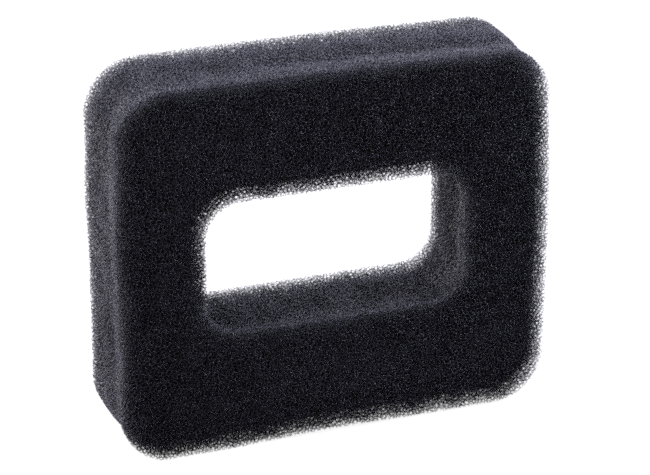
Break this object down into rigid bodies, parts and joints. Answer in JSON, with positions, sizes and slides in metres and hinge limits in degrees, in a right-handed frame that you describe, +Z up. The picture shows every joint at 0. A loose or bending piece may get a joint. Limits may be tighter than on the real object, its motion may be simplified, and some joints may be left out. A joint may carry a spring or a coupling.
{
  "type": "air filter element",
  "caption": "Flat rectangular slab of black open-cell foam with rounded corners and a long round-cornered opening through its middle, as an air filter element.",
  "frame": {"origin": "middle of the lower long edge that the slab stands on, halfway through its thickness", "axes": "+X along the slab's length, +Y through its thickness towards its back face, +Z up its width; the face seen in the picture looks along -Y"},
  "size_m": [0.106, 0.025, 0.092],
  "materials": {
    "foam": "dull black open-cell polyurethane foam with fine pores, slightly oily"
  },
  "bodies": {
    "root": {"foam_element": "foam"}
  },
  "joints": []
}
